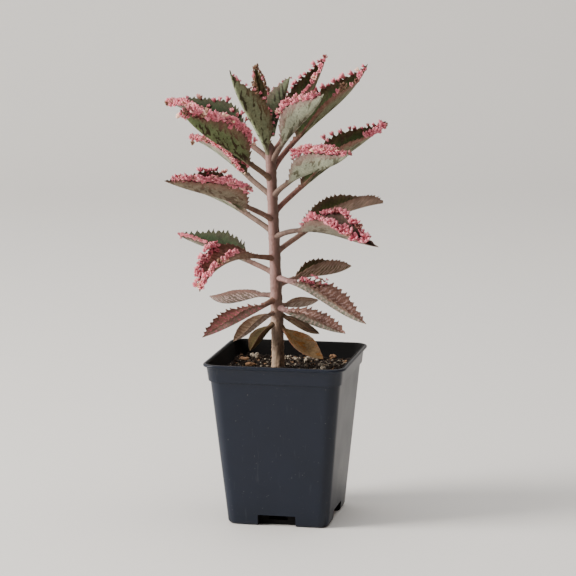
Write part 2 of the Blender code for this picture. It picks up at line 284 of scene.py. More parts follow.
def outward(points, faces):
    """The faces turned over if the volume they enclose comes out negative."""
    p = np.asarray(points)
    corner = np.array([[f[0], f[i], f[i + 1]] for f in faces for i in range(1, len(f) - 1)])
    volume = np.einsum("ij,ij->i", p[corner[:, 0]],
                       np.cross(p[corner[:, 1]], p[corner[:, 2]])).sum()
    return [list(reversed(f)) for f in faces] if volume < 0 else faces


# %% [markdown]
# ## The pot's plastic
# Nursery pots are blow-moulded or injection-moulded polypropylene, coloured black with
# carbon. The eye gets a dark satin skin, a little blue in daylight, that shines at its
# rounded corners, with faint dust and fine scuffs from the growing bench.

# %% Black polypropylene


def make_pot_plastic():
    """Satin black plastic; clouds 22 mm wide vary its tone and gloss, dust is 1 mm fine, and
    painted shade darkens the inner wall and the notches.
    """
    made, add, shader = start_material("black_polypropylene")
    place = add("TexCoord").outputs["Object"]
    cloud = add("TexNoise", {"Scale": 45.0, "Detail": 4.0}, {"Vector": place})
    dust = add("TexNoise", {"Scale": 900.0}, {"Vector": place})
    specks = add("MapRange", {"From Min": 0.73, "From Max": 0.78}, {"Value": dust})
    long = add("Mapping", {"Scale": (500.0, 500.0, 60.0)}, {"Vector": place})
    scuff = add("TexNoise", {"Scale": 1.0, "Detail": 3.0}, {"Vector": long})
    scuffs = add("MapRange", {"From Min": 0.64, "From Max": 0.74, "To Max": 0.3}, {"Value": scuff})
    tone = add("Mix", {6: linear("#0b1220"), 7: linear("#131b2a")}, {0: cloud})
    scuffed = add("Mix", {7: linear("#32363c")}, {0: scuffs, 6: tone})
    dusty = add("Mix", {7: linear("#5d5b57")}, {0: specks, 6: scuffed})
    # Painted shade: the inner wall faces the axis and the notches lie low and deep, so both are
    # painted near black, as shade falls there, and made duller
    facing = add("NewGeometry").outputs["Normal"]
    level = add("VectorMath", {"operation": "MULTIPLY", 1: (1, 1, 0)}, {0: place})
    away = add("VectorMath", {"operation": "DOT_PRODUCT"}, {0: level, 1: facing})
    inner = add("MapRange", {"From Max": -0.008}, {"Value": away})
    axes = add("SeparateXYZ", links={"Vector": place})
    wide = [add("Math", {"operation": "ABSOLUTE"}, {0: axes.outputs[i]}) for i in (0, 1)]
    half = add("Math", {"operation": "MAXIMUM"}, {0: wide[0], 1: wide[1]})
    deep = add("MapRange", {"From Min": (BASE_HALF - 0.7) * MM,
                            "From Max": (BASE_HALF - 2.3) * MM}, {"Value": half})
    low = add("Math", {"operation": "LESS_THAN", 1: (NOTCH_HEIGHT + 0.2) * MM},
              {0: axes.outputs[2]})
    recess = add("Math", {"operation": "MULTIPLY"}, {0: deep, 1: low})
    painted_shade = add("Math", {"operation": "MAXIMUM"}, {0: recess, 1: inner})
    shade_darkened = add("Mix", {7: linear("#040303")}, {0: painted_shade, 6: dusty})
    gloss = add("MapRange", {"To Min": 0.34, "To Max": 0.50}, {"Value": cloud})
    dull = add("Math", {"operation": "MULTIPLY_ADD", 1: 0.5}, {0: painted_shade, 2: gloss})
    finish_material(add, shader, shade_darkened, dull, 0.3, dust, 0.15, 0.0002)
    shader.inputs["IOR"].default_value = 1.49
    return made


POT_PLASTIC = make_pot_plastic()

# %% [markdown]
# ## The pot
# The pot is one thin wall: a tapered square with rounded corners, a band below the rim
# and a small lip. Its section is a list of heights and half widths that is carried around
# a rounded square. The four notches at the foot, with their drain slots, are cut with
# blocks, as the mould's inserts form them, and a narrow bevel rounds every edge.

# %% The pot's shape


def wall_half(height):
    """Half the outer width under the band: a straight taper from the base."""
    return BASE_HALF + (BAND_FOOT_HALF - BAND_STEP - BASE_HALF) * height / BAND_FOOT


def corner_radius(height):
    """The outer corner radius: it grows steadily with height."""
    return CORNER_BASE + (CORNER_TOP - CORNER_BASE) * height / POT_HEIGHT


def square_rings(half, radius, height, arc=9):
    """Rows of points around rounded squares: arcs at the corners, straight runs between."""
    half, radius, height = (np.asarray(v, float)[:, None] for v in (half, radius, height))
    angle = np.linspace(0, math.pi / 2, arc)[None, :]
    x = half - radius + radius * np.cos(angle)
    y = half - radius + radius * np.sin(angle)
    run = np.array([0.04, 0.5, 0.96])[None, :]
    straight = half - radius
    x = np.hstack([x, straight * (1 - 2 * run)])
    y = np.hstack([y, np.broadcast_to(half, (len(half), 3))])
    ring = []
    for quarter in range(4):
        c, s = math.cos(math.pi / 2 * quarter), math.sin(math.pi / 2 * quarter)
        ring.append(np.stack([x * c - y * s, x * s + y * c,
                              np.broadcast_to(height, x.shape)], -1))
    return np.concatenate(ring, 1)


def side_blocks(width, inner, low, high):
    """Four blocks in one mesh, at the middle of each side of the base, ending at inner."""
    outer = BASE_HALF + 6.0 if low < 0 else BASE_HALF - 0.2
    bm = bmesh.new()
    for side in range(4):
        block = bmesh.ops.create_cube(bm, size=1.0)["verts"]
        bmesh.ops.scale(bm, vec=(width, outer - inner, high - low), verts=block)
        bmesh.ops.translate(bm, vec=(0, -(outer + inner) / 2, (low + high) / 2), verts=block)
        bmesh.ops.rotate(bm, cent=(0, 0, 0), verts=block,
                         matrix=Matrix.Rotation(math.pi / 2 * side, 3, "Z"))
    bmesh.ops.scale(bm, vec=(MM, MM, MM), verts=bm.verts)
    mesh = bpy.data.meshes.new("blocks")
    bm.to_mesh(mesh)
    bm.free()
    return place_object("blocks", mesh)


def cut(target, cutter, operation):
    """Joins the cutter to the target or takes it away, and removes the cutter."""
    modifier = target.modifiers.new("cut", "BOOLEAN")
    modifier.operation, modifier.solver, modifier.object = operation, "EXACT", cutter
    graph = bpy.context.evaluated_depsgraph_get()
    mesh = bpy.data.meshes.new_from_object(target.evaluated_get(graph))
    target.modifiers.clear()
    target.data = mesh
    bpy.data.objects.remove(cutter)


def make_pot():
    """Carries the wall's section around, closes the floor, cuts the notches, bevels edges."""
    heights = np.linspace(2.0, BAND_FOOT - 0.6, 8)
    inner = np.linspace(BAND_FOOT - 1.2, FLOOR, 8)
    section = [(BASE_HALF - 1.8, CORNER_BASE - 0.8, 0.0),
               (BASE_HALF - 0.9, CORNER_BASE - 0.4, 0.3),
               (BASE_HALF - 0.2, CORNER_BASE - 0.1, 1.1)]
    section += [(wall_half(z), corner_radius(z), z) for z in heights]
    section += [(BAND_FOOT_HALF - 0.1, corner_radius(BAND_FOOT), BAND_FOOT - 0.3),
                (BAND_FOOT_HALF, corner_radius(BAND_FOOT), BAND_FOOT + 0.1),
                (BAND_TOP_HALF, CORNER_TOP, POT_HEIGHT - 2.6),
                (BAND_TOP_HALF + 0.3, CORNER_TOP, POT_HEIGHT - 2.2),
                (RIM_HALF - 0.2, CORNER_TOP + 1.4, POT_HEIGHT - 1.6),
                (RIM_HALF, CORNER_TOP + 1.5, POT_HEIGHT - 1.2),
                (RIM_HALF, CORNER_TOP + 1.5, POT_HEIGHT - 0.6),
                (RIM_HALF - 0.3, CORNER_TOP + 1.3, POT_HEIGHT - 0.1),
                (RIM_HALF - 0.8, CORNER_TOP + 1.0, POT_HEIGHT),
                (BAND_TOP_HALF - 0.5, CORNER_TOP, POT_HEIGHT),
                (BAND_TOP_HALF - 0.9, CORNER_TOP - 0.6, POT_HEIGHT - 0.3),
                (BAND_TOP_HALF - WALL, CORNER_TOP - WALL, POT_HEIGHT - 1.6),
                (BAND_FOOT_HALF - WALL, corner_radius(BAND_FOOT) - WALL, BAND_FOOT + 0.5)]
    section += [(wall_half(z) - WALL, corner_radius(z) - WALL, z) for z in inner]
    rings = square_rings(*np.array(section).T)
    rows, columns = rings.shape[:2]
    faces = grid_quads(rows, columns, True).tolist()
    faces += [list(range(columns)), list(range((rows - 1) * columns, rows * columns))[::-1]]
    points = rings.reshape(-1, 3)
    pot = finish_piece("moulded_pot", points, outward(points, faces), POT_PLASTIC,
                       ["pot"])
    recess = BASE_HALF - NOTCH_DEPTH
    cut(pot, side_blocks(NOTCH_WIDTH + 2 * WALL, recess - WALL, 0.8, NOTCH_HEIGHT + WALL),
        "UNION")
    cut(pot, side_blocks(NOTCH_WIDTH, recess, -1.0, NOTCH_HEIGHT), "DIFFERENCE")
    cut(pot, side_blocks(DRAIN_WIDTH, recess - 2 * WALL, DRAIN_LOW, DRAIN_HIGH), "DIFFERENCE")
    bevel = pot.modifiers.new("softened edges", "BEVEL")
    bevel.width, bevel.segments, bevel.limit_method = 0.0003, 2, "ANGLE"
    bevel.angle_limit = math.radians(50)
    bevel.harden_normals = True
    print("with its notches the pot has", len(pot.data.polygons), "faces")


make_pot()

# %% [markdown]
# ## The soil
# Potting mix is peat and composted bark, almost black when moist, with crumbs, brown
# chips and white perlite. The ground is a rounded square of points raised by noise, and
# on it lie crumbs: one small lump repeated with other turns, sizes and squeezes.

# %% Soil materials


def make_grain_material(name, dark, light, size, rough):
    """Two tones of noise, mixed at the grain's own scale, on a dry, rough surface."""
    made, add, shader = start_material(name)
    place = add("TexCoord").outputs["Object"]
    noise = add("TexNoise", {"Scale": 1000.0 / size, "Detail": 5.0}, {"Vector": place})
    spread = add("MapRange", {"From Min": 0.32, "From Max": 0.68}, {"Value": noise})
    tone = add("Mix", {6: linear(dark), 7: linear(light)}, {0: spread})
    finish_material(add, shader, tone, rough, 0.25, noise, 0.6, 0.0004)
    return made


PEAT = make_grain_material("moist_peat", "#0e0b09", "#382d25", 2.0, 0.95)
PERLITE = make_grain_material("expanded_perlite", "#6e6456", "#b9ad9b", 0.9, 0.9)
BARK = make_grain_material("composted_bark", "#5a4230", "#b08a68", 1.2, 0.85)

# %% The ground and its crumbs
SOIL_HALF, SOIL_CORNER, SOIL_DEPTH, SCATTER_HALF = 39.6, 6.6, 24.0, 38


def ground_height(x, y):
    """The soil's height: level, a mound at the stem, and noise two sizes deep."""
    away = np.hypot(x - STEM_FOOT[0], y - STEM_FOOT[1])
    flat = np.stack([x, y, np.zeros_like(x)], -1)
    return (SOIL_TOP + MOUND * np.clip(1 - away / 14.0, 0, 1) ** 0.8
            + 0.55 * ripple(flat, 9.0, 3) + 0.35 * ripple(flat, 3.2, 4) - 0.3)


def make_ground():
    """A grid pressed into the pot's rounded square, closed by a skirt and a flat floor."""
    count = 90
    half, radius = SOIL_HALF, SOIL_CORNER
    a, b = np.meshgrid(np.linspace(-1, 1, count), np.linspace(-1, 1, count), indexing="ij")
    x, y = a * half, b * half
    over_x, over_y = np.abs(x) - (half - radius), np.abs(y) - (half - radius)
    both = (over_x > 0) & (over_y > 0)
    reach = np.hypot(over_x, over_y)
    pull = np.where(both, np.maximum(over_x, over_y) / np.maximum(reach, 1e-6), 1.0)
    x = np.where(both, np.sign(x) * ((half - radius) + over_x * pull), x)
    y = np.where(both, np.sign(y) * ((half - radius) + over_y * pull), y)
    top = np.stack([x, y, ground_height(x, y)], -1)
    edge = np.concatenate([np.arange(count), np.arange(1, count) * count + count - 1,
                           count * (count - 1) + np.arange(count - 2, -1, -1),
                           np.arange(count - 2, 0, -1) * count])
    points = top.reshape(-1, 3)
    low = points[edge] * [0.94, 0.94, 0] + [0, 0, SOIL_TOP - SOIL_DEPTH]
    faces = grid_quads(count, count, False).tolist()
    base = len(points)
    ring = len(edge)
    faces += [[int(edge[i]), base + i, base + (i + 1) % ring, int(edge[(i + 1) % ring])]
              for i in range(ring)]
    faces.append([base + i for i in range(ring)][::-1])
    points = np.vstack([points, low])
    finish_piece("potting_soil", points, outward(points, faces), PEAT, ["soil"])


def lump_template(divisions, roughness, seed):
    """A ball of a few dozen faces, pushed in and out by noise."""
    bm = bmesh.new()
    bmesh.ops.create_icosphere(bm, subdivisions=divisions, radius=1.0)
    points = np.array([v.co[:] for v in bm.verts])
    faces = np.array([[v.index for v in f.verts] for f in bm.faces])
    bm.free()
    return points * (1 + roughness * ripple(points, 1.9, seed))[:, None], faces


def scatter(template, faces, centres, sizes, rng):
    """Copies of a template, each turned at random, squeezed to its sizes and set down."""
    count = len(centres)
    turn, _ = np.linalg.qr(rng.normal(size=(count, 3, 3)))
    turned = np.einsum("nij,vj->nvi", turn, template) * sizes[:, None, :]
    points = (turned + centres[:, None, :]).reshape(-1, 3)
    offsets = (np.arange(count) * len(template))[:, None, None]
    copies = (faces[None] + offsets).reshape(-1, faces.shape[1])
    mirrored = np.repeat(np.linalg.det(turn) < 0, len(faces))
    copies[mirrored] = copies[mirrored][:, ::-1]
    return points, copies.tolist()


def scatter_on_soil(name, count, small, large, material, seed, flatness):
    """Crumbs of one kind strewn over the soil, half sunk in it."""
    rng = np.random.default_rng(seed)
    x, y = rng.uniform(-SCATTER_HALF, SCATTER_HALF, (2, count))
    size = small + (large - small) * rng.random(count) ** 2.5
    sizes = np.stack([size, size * rng.uniform(0.6, 1, count), size * flatness], -1) / 2
    centres = np.stack([x, y, ground_height(x, y) + sizes[:, 2] * 0.4], -1)
    template, faces = lump_template(1, 0.22, seed)
    points, copies = scatter(template, faces, centres, sizes, rng)
    finish_piece(name, points, copies, material, [], flat=True)


make_ground()
scatter_on_soil("peat_crumbs", 1500, 0.8, 3.0, PEAT, 11, 0.8)
scatter_on_soil("bark_bits", 300, 0.8, 2.8, BARK, 12, 0.45)
scatter_on_soil("perlite_bits", 420, 0.6, 2.1, PERLITE, 13, 0.8)

# %% [markdown]
# ## The larger grains
# The frame names ten grains that stand out: white perlite lumps and brown chips. Perlite
# is glassy rock puffed up by heat, so its lumps are knobbly and chalky.

# %% Named grains
for grain in [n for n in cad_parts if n.startswith(("perlite", "bark"))]:
    low, high = (np.array(v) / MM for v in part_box(grain))
    chalky = grain.startswith("perlite")
    rng = np.random.default_rng(int(abs(low[0] * 100 + low[1] * 10)))
    count = 9 if chalky else 3
    ball, ball_faces = lump_template(2, 0.25, count + len(grain))
    reach = (high - low) / 2
    centres = (low + high) / 2 + rng.uniform(-0.6, 0.6, (count, 3)) * reach * [1, 1, 0.7]
    centres[0] = (low + high) / 2
    sizes = rng.uniform(0.30, 0.5, (count, 3)) * reach.max()
    sizes[0] = reach * (0.62 if chalky else 0.9)
    centres[:, 2] = np.minimum(centres[:, 2], high[2] - sizes[:, 2] * 0.8)
    points, copies = scatter(ball, ball_faces, centres, np.minimum(sizes, reach), rng)
    finish_piece("loose_" + grain, points, copies, PERLITE if chalky else BARK, [grain])

# %% [markdown]
# ## The stem's skin
# A kalanchoe stem is fleshy and smooth where it is young, dusted with a pale bloom over
# pink, and turns brown, corky and scarred with age near the soil. Height sets the mix, and
# painted light makes the side towards the large softbox paler.

# %% Stem bark and bloom
BARK_END, BLOOM_START = 125.0, 170.0


def make_stem_skin():
    """Height runs from corky brown to rosy bloom; clouds 6 mm wide and fibres 1 mm wide
    and 6 mm long break up the change, and painted light makes the skin paler on the side that
    faces the large softbox and darker on the far side."""
    made, add, shader = start_material("kalanchoe_stem")
    place = add("TexCoord").outputs["Object"]
    axes = add("SeparateXYZ", links={"Vector": place})
    cloud = add("TexNoise", {"Scale": 180.0, "Detail": 5.0, "Roughness": 0.7}, {"Vector": place})
    stretch = add("Mapping", {"Scale": (900.0, 900.0, 160.0)}, {"Vector": place})
    fibre = add("TexNoise", {"Scale": 1.0, "Detail": 3.0}, {"Vector": stretch})
    wobble = add("Math", {"operation": "MULTIPLY", 1: 0.05}, {0: cloud})
    height = add("Math", {"operation": "ADD"}, {0: axes.outputs[2], 1: wobble})
    age = add("MapRange", {"From Min": BARK_END * MM, "From Max": BLOOM_START * MM},
              {"Value": height})
    facing = add("NewGeometry").outputs["Normal"]
    # Painted light: how far the surface turns towards the large softbox makes that side paler and
    # the far side darker
    painted_lit_side = add("VectorMath", {"operation": "DOT_PRODUCT", 1: (-0.88, -0.47, 0.0)}, {0: facing})
    patchy = add("Math", {"operation": "MULTIPLY_ADD", 1: 1.2, 2: -0.6}, {0: cloud})
    painted_light_and_patches = add("Math", {"operation": "ADD"}, {0: painted_lit_side, 1: patchy})
    bloom_and_painted_light = add("MapRange", {"From Min": -0.5, "From Max": 1.1}, {"Value": painted_light_and_patches})
    cork = add("MapRange", {"From Min": 0.35, "From Max": 0.65, "To Max": 0.45}, {"Value": fibre})
    cork_and_painted_light = add("Math", {"operation": "ADD"}, {0: cork, 1: bloom_and_painted_light})
    old = add("Mix", {6: linear("#5c4736"), 7: linear("#b0977f")}, {0: cork_and_painted_light})
    young = add("Mix", {6: linear("#5c453b"), 7: linear("#876660")}, {0: bloom_and_painted_light})
    tone = add("Mix", links={0: age, 6: old, 7: young})
    finish_material(add, shader, tone, 0.6, 0.3, fibre, 0.5, 0.0003)
    return made


STEM_SKIN = make_stem_skin()

# %% [markdown]
# ## The stem
# The stem is a tube along a slightly leaning line. Where a pair of leaves joins it, it
# swells into a ring, and low down old leaf scars roughen it.

# %% The stem's shape


def stem_centre(height):
    """The middle of the stem: the foot plus a lean that grows with height to the power 1.3."""
    height = np.asarray(height, float)
    share = np.clip((height - 100.0) / (STEM_TIP - 100.0), 0, None) ** 1.3
    return np.stack([STEM_FOOT[0] + STEM_LEAN[0] * share,
                     STEM_FOOT[1] + STEM_LEAN[1] * share, height], -1)


def stem_radius(height):
    """A straight taper and a small flare where the stem enters the soil."""
    share = (height - STEM_FOOT[2]) / (STEM_TIP - STEM_FOOT[2])
    return (STEM_RADIUS_FOOT + (STEM_RADIUS_TOP - STEM_RADIUS_FOOT) * share
            + 0.3 * np.exp(-((height - SOIL_TOP) / 6.0) ** 2))


def make_stem():
    """A tube of rings; gaussian swellings at the joints, noise for scars, a domed tip."""
    around = 40
    height = np.linspace(STEM_FOOT[2] + 4, STEM_TIP, 460)
    joints = np.array([row[1] for row in LEAVES.values()], float)
    near = np.abs(height[:, None] - joints[None]).min(1)
    radius = stem_radius(height) + 0.28 * np.exp(-(near / 1.6) ** 2)
    radius *= np.sqrt(np.clip((STEM_TIP - height) / 4.0, 0.0, 1.0))
    turn = np.linspace(0, 2 * math.pi, around, endpoint=False)
    rim = np.stack([np.cos(turn), np.sin(turn), np.zeros(around)], -1)
    points = stem_centre(height)[:, None] + radius[:, None, None] * rim[None]
    rough = np.interp(height, [100, 150, 185], [0.34, 0.20, 0.07])[:, None]
    flat = points * [1, 1, 0.55]
    push = rough * (0.6 * ripple(flat, 5.0, 21) + 0.5 * ripple(flat, 1.8, 22))
    points = points + (push * np.minimum(1, radius[:, None]))[..., None] * rim[None]
    rows = len(height)
    faces = grid_quads(rows - 1, around, True).tolist()
    last = (rows - 2) * around
    tip = (rows - 1) * around
    faces += [[last + i, last + (i + 1) % around, tip] for i in range(around)]
    faces.append(list(range(around))[::-1])
    points = np.vstack([points[:-1].reshape(-1, 3), points[-1].mean(0, keepdims=True)])
    finish_piece("grown_stem", points, outward(points, faces), STEM_SKIN, ["stem"])


make_stem()

# %% [markdown]
# ## Leaf skins
# The leaf is waxy and fleshy. Below, it is grey-green with dark squiggles that slant from
# the midrib to the margin; above, it is a deeper green. Bright light turns margins and
# old leaves rosy, bronze or orange. All the skins share one recipe with other colours.

# %% One recipe for every leaf skin
RIB_PERIOD = 3.6  # millimetres from rib to rib


def make_leaf_skin(name, under, above, blotch, rim, stalk, strength, striped=False):
    """Squiggles 4 mm wide, or slanting ribs, on two sides, a rim and a stalk; all noise
    scales count patterns per millimetre of the leaf, which its fields give."""
    made, add, shader = start_material("leaf_" + name.replace(" ", "_"))
    skin = add("Attribute", {"attribute_name": "skin"}).outputs["Vector"]
    place = add("Attribute", {"attribute_name": "place"}).outputs["Vector"]
    mm = add("SeparateXYZ", links={"Vector": skin})
    at = add("SeparateXYZ", links={"Vector": place})
    side = add("Math", {"operation": "ABSOLUTE"}, {0: mm.outputs[0]})
    slant = add("Math", {"operation": "MULTIPLY_ADD", 1: -0.9 if striped else -1.5},
                {0: side, 2: mm.outputs[1]})
    grid = add("CombineXYZ", links={0: slant, 1: mm.outputs[0], 2: mm.outputs[2]})
    stretch = add("Mapping", {"Scale": (0.22, 0.30, 1.0)}, {"Vector": grid})
    noise = add("TexNoise", {"Scale": 1.0, "Distortion": 0.5}, {"Vector": stretch})
    mottle = add("TexNoise", {"Scale": 0.75, "Detail": 3.0, "Roughness": 0.65}, {"Vector": skin})
    edge = add("Math", {"operation": "ABSOLUTE"}, {0: at.outputs[0]})
    if striped:
        sway = add("Math", {"operation": "MULTIPLY", 1: 13.0}, {0: noise})
        phase = add("Math", {"operation": "MULTIPLY_ADD", 1: 2 * math.pi / RIB_PERIOD},
                    {0: slant, 2: sway})
        wave = add("Math", {"operation": "SINE"}, {0: phase})
        broken = add("Math", {"operation": "MULTIPLY_ADD", 1: 4.0}, {0: mottle, 2: wave})
        ribs = add("MapRange", {"From Min": 2.0, "From Max": 3.0, "To Max": strength},
                   {"Value": broken})
        fade = add("MapRange", {"From Min": 0.6, "From Max": 1.0, "To Min": 1.0, "To Max": 0.4},
                   {"Value": edge})
        squiggle = add("Math", {"operation": "MULTIPLY"}, {0: ribs, 1: fade})
    else:
        squiggle = add("MapRange", {"From Min": 0.53, "From Max": 0.57, "To Max": strength},
                       {"Value": noise})
    cloud = add("TexNoise", {"Scale": 0.12, "Detail": 3.0}, {"Vector": skin})
    shade = add("MapRange", {"From Min": 0.3, "From Max": 0.7, "To Min": 0.78, "To Max": 1.18},
                {"Value": cloud})
    flecks = add("MapRange", {"From Min": 0.32, "From Max": 0.68, "To Min": 0.70, "To Max": 1.18},
                 {"Value": mottle})
    shaded = add("Math", {"operation": "MULTIPLY"}, {0: shade, 1: flecks})
    upper = add("MapRange", {"From Min": -0.15, "From Max": 0.15}, {"Value": at.outputs[2]})
    two = add("Mix", {6: linear(under), 7: linear(above)}, {0: upper})
    marked = add("Mix", {7: linear(blotch)}, {0: squiggle, 6: two})
    streaky = add("Math", {"operation": "MULTIPLY_ADD", 1: 0.5}, {0: noise, 2: edge})
    band = add("MapRange", {"From Min": 0.92 if striped else 0.80, "From Max": 1.15,
                            "To Max": 0.85}, {"Value": streaky})
    below = add("MapRange", {"From Min": -0.15, "From Max": 0.15, "To Min": 1.0,
                             "To Max": 0.9 if striped else 0.4}, {"Value": at.outputs[2]})
    rimmed = add("Math", {"operation": "MULTIPLY"}, {0: band, 1: below})
    edged = add("Mix", {7: linear(rim)}, {0: rimmed, 6: marked})
    stalky = add("MapRange", {"From Min": 0.10, "From Max": -0.04}, {"Value": at.outputs[1]})
    whole = add("Mix", {7: linear(stalk)}, {0: stalky, 6: edged})
    toned = add("VectorMath", {"operation": "SCALE"}, {0: whole, "Scale": shaded})
    fine = add("TexNoise", {"Scale": 1.6, "Detail": 3.0}, {"Vector": skin})
    finish_material(add, shader, toned, 0.72, 0.1, fine, 0.35, 0.0003)
    return made


SKINS = {
    "young green": ("#868f6e", "#5c6a40", "#33281e", "#6f5e48", "#7b7660", 0.85),
    "young grey": ("#6b735a", "#545a3e", "#35332a", "#6c5f52", "#77705f", 0.85),
    "young dark": ("#6a5a4a", "#7a7350", "#3a3222", "#5a4034", "#5d4a40", 0.5),
    "pale grey": ("#8d917c", "#5b5f40", "#4c4a38", "#8a6f68", "#6e5b51", 0.8),
    "grey pink": ("#736d5f", "#52443b", "#4c4438", "#84655d", "#69574f", 0.75),
    "deep green": ("#68744f", "#4c5836", "#382a1e", "#74574a", "#715c4c", 0.95),
    # painted shade green: the deep green made darker on the upper face, painting shade on two
    # back-left leaves
    "shady green": ("#7d7868", "#333e28", "#262e1c", "#4f4037", "#6f574f", 0.7),
    "grey green": ("#7b705e", "#56583f", "#4f3e32", "#7d5b50", "#74594e", 0.8),
    "flushed": ("#7b7c60", "#434d2c", "#3a3626", "#84584f", "#77544c", 0.8),
    "bronze": ("#77604f", "#9a766a", "#5a443a", "#6a4c40", "#6f5346", 0.75, True),
    "striped": ("#6a6a5c", "#7e5c50", "#b79a92", "#583c33", "#9a7a76", 0.7, True),
    "ribbed": ("#8f7567", "#55552f", "#4b452f", "#71574b", "#7d6156", 1.0, True),
    "pale stripes": ("#64584d", "#56473f", "#b39a96", "#6c5048", "#66504a", 0.9, True),
    "rosy": ("#937d70", "#9f7d6e", "#c87684", "#6c5044", "#7b5d50", 0.9, True),
    "old brown": ("#b7a295", "#b19e88", "#6a5848", "#84695a", "#80665a", 0.7, True),
    "speckled": ("#6e5e4c", "#685644", "#42342a", "#5f483a", "#5f4e40", 0.8),
    "orange": ("#8f764f", "#b2946d", "#bd8346", "#977066", "#6c5645", 0.85),
    "old olive": ("#5a4d33", "#4a4028", "#352d1c", "#6a5040", "#5c4a3a", 0.8),
}
LEAF_SKINS = {name: make_leaf_skin(name, *row) for name, row in SKINS.items()}
print(len(LEAF_SKINS), "leaf skins")

# %% [markdown]
# ## The leaf as a surface
# A leaf is a loop of points carried along its midrib. On the petiole the loop is an oval;
# on the blade it opens into two halves folded up like a boat, thick at the keel and thin
# at the toothed margin. The slope of the midrib is a smooth curve through three angles.

# %% Midrib, outline and section
# From row to row, and points in a loop; then the petiole's radius, half the blade's
# thickness, and what the keel adds to it and over which half width
LEAF_STEP, LEAF_LOOP = 0.6, 40
STALK_RADIUS, BLADE, KEEL, KEEL_HALF = 1.75, 0.42, 0.95, 1.7


def midrib(rise, length, share):
    """Adds up short steps along a slope that is a quadratic through its three angles."""
    base, middle, tip = rise
    s = np.linspace(0, 1, 400)
    slope = np.radians(base * (1 - s) * (1 - 2 * s) + 4 * middle * s * (1 - s)
                       + tip * s * (2 * s - 1))
    step = length / 399
    reach = np.concatenate([[0], np.cumsum(np.cos(slope[:-1]) * step)])
    climb = np.concatenate([[0], np.cumsum(np.sin(slope[:-1]) * step)])
    return tuple(np.interp(share, s, v) for v in (reach, climb, slope))


def blade_width(u, widest, fullness):
    """The outline: a sine hump, its top moved to the widest place and raised to a power."""
    power = math.log(0.5) / math.log(widest)
    return np.clip(np.sin(math.pi * np.clip(u, 0, 1) ** power), 0, 1) ** fullness


def smooth(low, high, value):
    """A ramp from 0 to 1 with soft ends."""
    t = np.clip((value - low) / (high - low), 0, 1)
    return t * t * (3 - 2 * t)


def leaf_surface(turn, height, length, rise, half_width, fold, petiole, widest, roll,
                 twist, old, toothed, fullness, seed):
    """Loops along the midrib: an oval petiole blends into two halves. Each half is as wide
    as the outline plus its teeth, bent up by the fold times its distance from the keel,
    and as thick as the blade plus a bell-shaped keel; roll and twist then turn the loop."""
    rng = np.random.default_rng(seed)
    out = np.array([math.cos(math.radians(turn)), math.sin(math.radians(turn)), 0.0])
    across = np.array([-out[1], out[0], 0.0])
    root = stem_centre(height)
    fine = np.linspace(0, 1, 400)
    away = midrib(rise, length, fine)[0]
    start = np.interp(stem_radius(height) - 1.0, away, fine)
    clear = np.interp(stem_radius(height) + 3.0, away, fine)
    # Above the lowest tiers and below the bud, the blade opens only clear of the stem
    if 135 < height < 226:
        petiole = max(petiole, clear + 0.08)
    share = np.linspace(start, 1, int(length / LEAF_STEP))
    reach, climb, slope = midrib(rise, length, share)
    u = (share - petiole) / (1 - petiole)
    blade = half_width * blade_width(u, widest, fullness)
    slim = 0.8 if half_width < 8 else 1.0
    stalk = STALK_RADIUS * slim * (1 + 0.35 * np.exp(-(share - start) * length / 2.5))
    stalk = stalk * np.sqrt(np.clip(1 - np.clip(u, 0, 1), 0, 1))
    half = (stalk ** 4 + blade ** 4) ** 0.25 + 0.03
    grown = smooth(-0.14, 0.04, u)
    angle_around = 2 * math.pi * (np.arange(LEAF_LOOP) + 0.5) / LEAF_LOOP
    q, lift = np.cos(angle_around)[None], np.sin(angle_around)[None]
    size = np.abs(q)
    along = (share * length)[:, None]
    period = OLD_PERIOD if old else YOUNG_PERIOD
    saw = ((along / period + 0.13 * np.sin(along * 0.7 + seed)) % 1.0) ** 1.4
    depth = toothed * half_width * (1 + 0.45 * np.sin(along * 1.9 + 2 * seed))
    teeth = depth * (saw - 0.4) * smooth(0.72, 1.0, size) * (grown * smooth(1.0, 0.95, u))[:, None]
    wave = 0.5 * np.sin(along / 7.0 + rng.uniform(0, 6) + 1.5 * np.sign(q)) * size ** 3
    lateral = half[:, None] * size + teeth
    bend = np.radians(fold) * grown[:, None] * (0.74 + 0.26 * size)
    x = np.sign(q) * lateral * np.cos(bend)
    z = lateral * np.sin(bend) + wave * grown[:, None]
    plate = lift / np.sqrt(lift ** 2 + 0.05)
    keel = KEEL * np.exp(-(lateral / KEEL_HALF) ** 2) * (1 - 0.6 * np.clip(u, 0, 1))[:, None]
    body = BLADE + keel
    oval = 0.92 * stalk[:, None] * lift
    tip_thin = np.sqrt(np.clip(1.02 - u, 0.02, 1))[:, None]
    off = (1 - grown[:, None]) * oval + grown[:, None] * body * plate * tip_thin
    x = x - np.sign(q) * np.sin(bend) * off
    z = z + np.cos(bend) * off
    tip_over = (np.radians(roll + twist * smooth(0.4, 1.0, u)) * grown)[:, None]
    x, z = (x * np.cos(tip_over) + z * np.sin(tip_over),
            z * np.cos(tip_over) - x * np.sin(tip_over))
    sway = rng.uniform(-1.5, 1.5) * np.clip(share, 0, 1) ** 2
    up = (np.array([0, 0, 1.0])[None] * np.cos(slope)[:, None]
          - out[None] * np.sin(slope)[:, None])
    middle = root + out * reach[:, None] + np.array([0, 0, 1.0]) * climb[:, None]
    points = (middle[:, None] + across * (x + sway[:, None])[..., None]
              + up[:, None] * z[..., None])
    full = np.ones_like(x)
    place = np.stack([q * full, u[:, None] * full, lift * full], -1)
    skin = np.stack([np.sign(q) * lateral, along * full, full * (seed * 3.7)], -1)
    return points, place, skin, up


